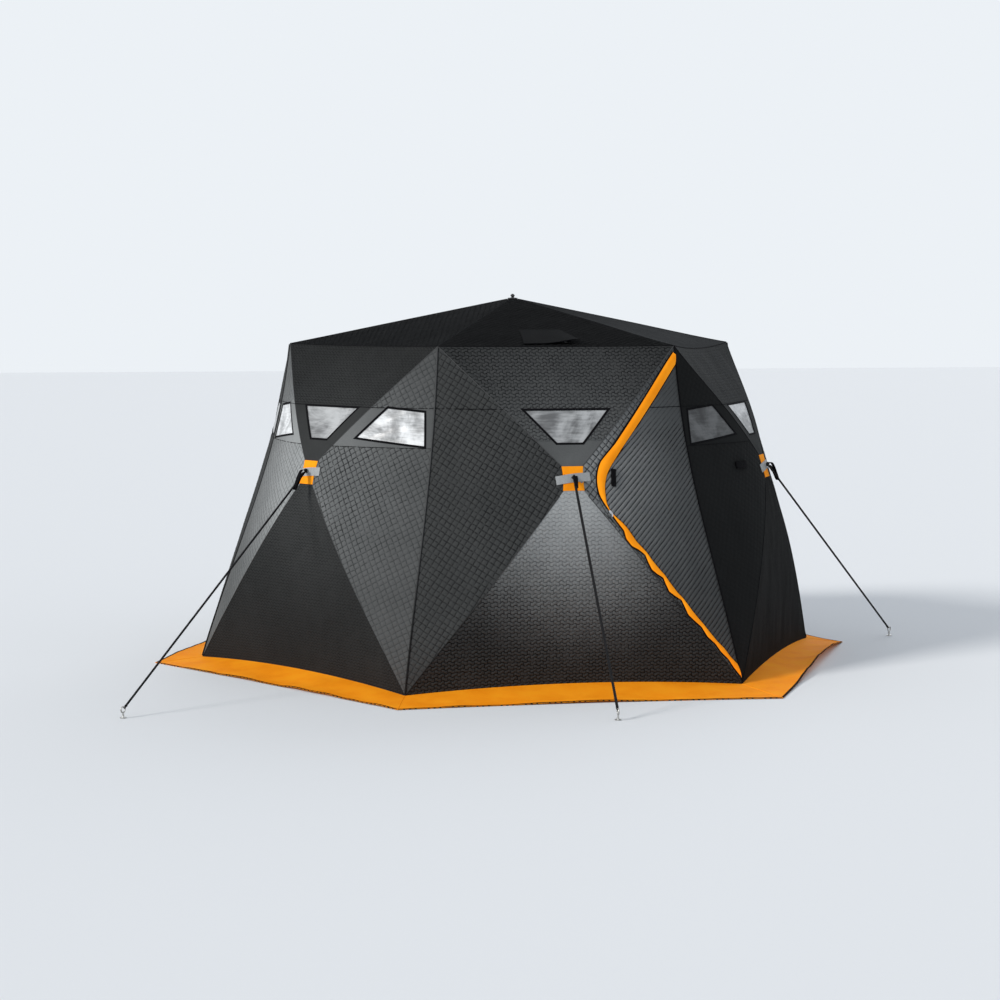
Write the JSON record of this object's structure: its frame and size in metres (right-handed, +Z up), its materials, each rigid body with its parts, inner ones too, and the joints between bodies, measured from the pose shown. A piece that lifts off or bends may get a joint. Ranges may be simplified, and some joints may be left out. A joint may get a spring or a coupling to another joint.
{
  "type": "ice fishing hut",
  "caption": "Six-sided pop-up ice fishing shelter: quilted fabric walls pushed out by hubs and poles, low windows, zipped door flap, snow skirt and guy ropes.",
  "frame": {"origin": "on the level ground under the roof's peak", "axes": "+Z up, -Y out through the front wall with the door, +X to the right seen from the front"},
  "size_m": [4.8601, 4.9992, 2.1246],
  "materials": {
    "quilted_fabric": "quilted polyester, matt with a slight sheen",
    "roof_fabric": "quilted polyester, dark",
    "orange_fabric": "coated oxford cloth",
    "black_webbing": "woven webbing and welt cord",
    "grey_webbing": "reflective woven webbing",
    "window_film": "soft clear film, crinkled",
    "vent_mesh": "fine mesh",
    "rope": "braided cord",
    "fibreglass": "solid pole, smooth",
    "moulded_plastic": "moulded nylon",
    "ferrule_metal": "satin",
    "zip_metal": "nickel plated",
    "anchor_steel": "zinc plated"
  },
  "bodies": {
    "hut": {"corner_welts": "black_webbing", "door_tie_pad": "black_webbing", "eave_brackets": "moulded_plastic", "foot_brackets": "moulded_plastic", "front_left_poles": "fibreglass", "front_left_wall": "quilted_fabric", "front_left_windows": "window_film", "front_poles": "fibreglass", "front_right_poles": "fibreglass", "front_right_wall": "quilted_fabric", "front_right_windows": "window_film", "front_wall": "quilted_fabric", "front_windows": "window_film", "guy_ropes": "rope", "hub_knots": "rope", "hub_patches": "orange_fabric", "hub_pull_loops": "black_webbing", "hub_straps": "grey_webbing", "ice_anchors": "anchor_steel", "pole_ferrules": "ferrule_metal", "rear_left_poles": "fibreglass", "rear_left_wall": "quilted_fabric", "rear_left_windows": "window_film", "rear_poles": "fibreglass", "rear_right_poles": "fibreglass", "rear_right_wall": "quilted_fabric", "rear_right_windows": "window_film", "rear_wall": "quilted_fabric", "rear_windows": "window_film", "roof_canopy": "roof_fabric", "roof_hub": "moulded_plastic", "roof_peak_cap": "moulded_plastic", "roof_poles": "fibreglass", "roof_vent_flap": "roof_fabric", "roof_vent_screen": "vent_mesh", "skirt_hem": "black_webbing", "snow_skirt": "orange_fabric", "wall_hubs": "moulded_plastic"},
    "door": {"door_flap": "quilted_fabric", "door_zip_band": "orange_fabric", "door_zip_slider": "zip_metal", "door_tie_tab": "black_webbing"}
  },
  "joints": [
    {"name": "door_swing", "type": "hinge", "parent": "hut", "child": "door", "pos_m": [0.92721, -1.60598, 0.018], "axis": [-0.1387, 0.2403, 0.9607], "range_deg": [0, 180]}
  ]
}
